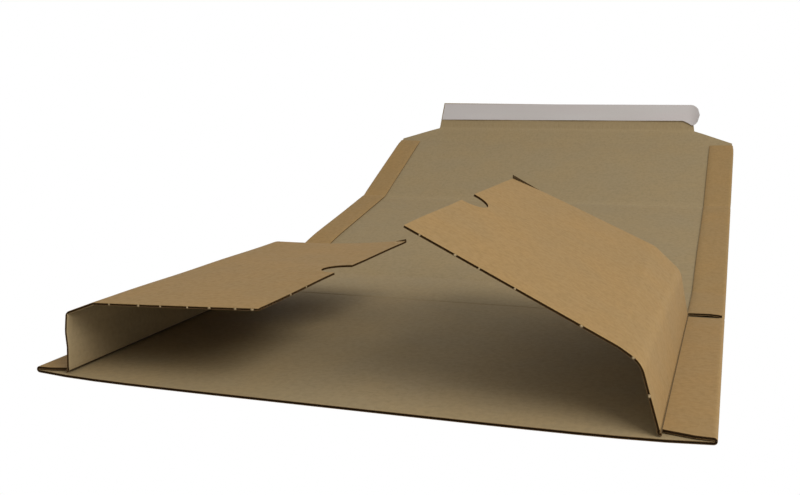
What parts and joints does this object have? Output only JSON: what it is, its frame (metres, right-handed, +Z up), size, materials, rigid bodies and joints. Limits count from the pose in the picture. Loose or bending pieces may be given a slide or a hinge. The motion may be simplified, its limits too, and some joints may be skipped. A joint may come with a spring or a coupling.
{
  "type": "book and record mailer",
  "caption": "Wrap-round mailer in corrugated board, lying open: pocket floor with folded-back strips, bent wings and a long closing flap with a covered adhesive tongue.",
  "frame": {"origin": "underside of the board at the centre of the pocket floor", "axes": "+X across the pocket to the right, +Y from the open front edge towards the closing flap, +Z up"},
  "size_m": [0.38, 0.6843, 0.1404],
  "materials": {
    "kraft_board": "matte brown kraft liner on fine corrugated board",
    "release_paper": "smooth white siliconised paper",
    "hot_melt": "pale tacky hot-melt adhesive"
  },
  "bodies": {
    "pocket": {"base_panel": "kraft_board"},
    "wing_left": {"left_wing": "kraft_board"},
    "wing_right": {"right_wing": "kraft_board"},
    "flap": {"closing_flap": "kraft_board", "adhesive_strip": "hot_melt", "release_liner": "release_paper"}
  },
  "joints": [
    {"name": "left_wing_fold", "type": "hinge", "parent": "pocket", "child": "wing_left", "pos_m": [-0.1664, 0, 0.0049], "axis": [0, -1, 0], "range_deg": [-15, 80]},
    {"name": "right_wing_fold", "type": "hinge", "parent": "pocket", "child": "wing_right", "pos_m": [0.1664, 0, 0.0049], "axis": [0, 1, 0], "range_deg": [-28, 100]},
    {"name": "closing_flap_fold", "type": "hinge", "parent": "pocket", "child": "flap", "pos_m": [0, 0.12, 0.0027], "axis": [1, 0, 0], "range_deg": [0, 80]}
  ]
}
